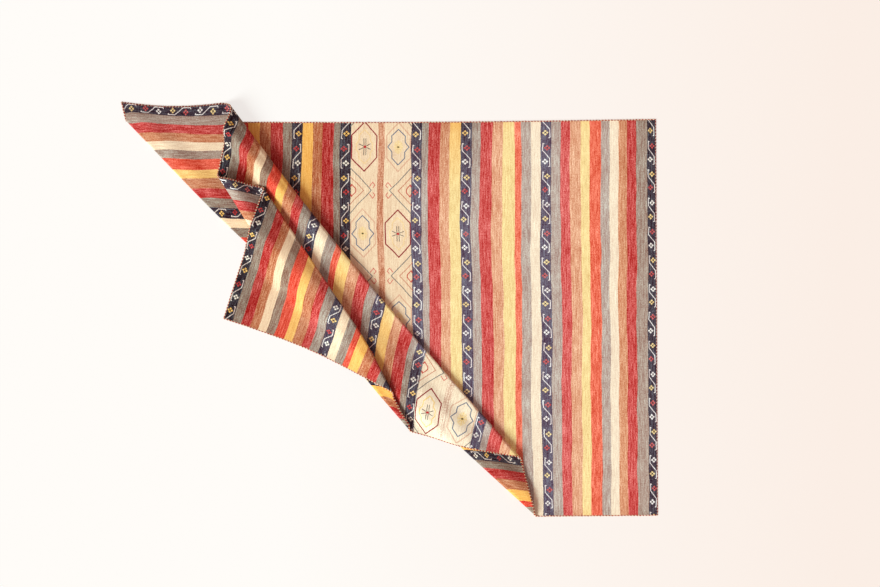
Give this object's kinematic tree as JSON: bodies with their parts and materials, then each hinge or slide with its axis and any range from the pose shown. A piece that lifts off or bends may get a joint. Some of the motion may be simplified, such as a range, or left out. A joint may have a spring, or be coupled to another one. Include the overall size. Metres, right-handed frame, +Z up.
{
  "type": "folded flat-woven rug",
  "caption": "Striped flat-woven wool rug lying on the floor, one corner folded back over itself in diagonal pleats, with overcast edges.",
  "frame": {"origin": "on the floor, under the middle of the folded rug's outline", "axes": "+X along the rug's stripes' order, from the folded left part to the free right end; +Y towards the rug's top long side; +Z up from the floor"},
  "size_m": [2.0144, 1.5574, 0.0778],
  "materials": {
    "wool_weave": "flat-woven wool in many-coloured stripes, matt, slightly ribbed",
    "edge_yarn": "overcast wool yarn, red and cream by turns, matt"
  },
  "bodies": {
    "root": {"cloth": "wool_weave", "binding_left_end": "edge_yarn", "binding_right_end": "edge_yarn", "binding_top_side": "edge_yarn", "binding_bottom_side": "edge_yarn"}
  },
  "joints": []
}
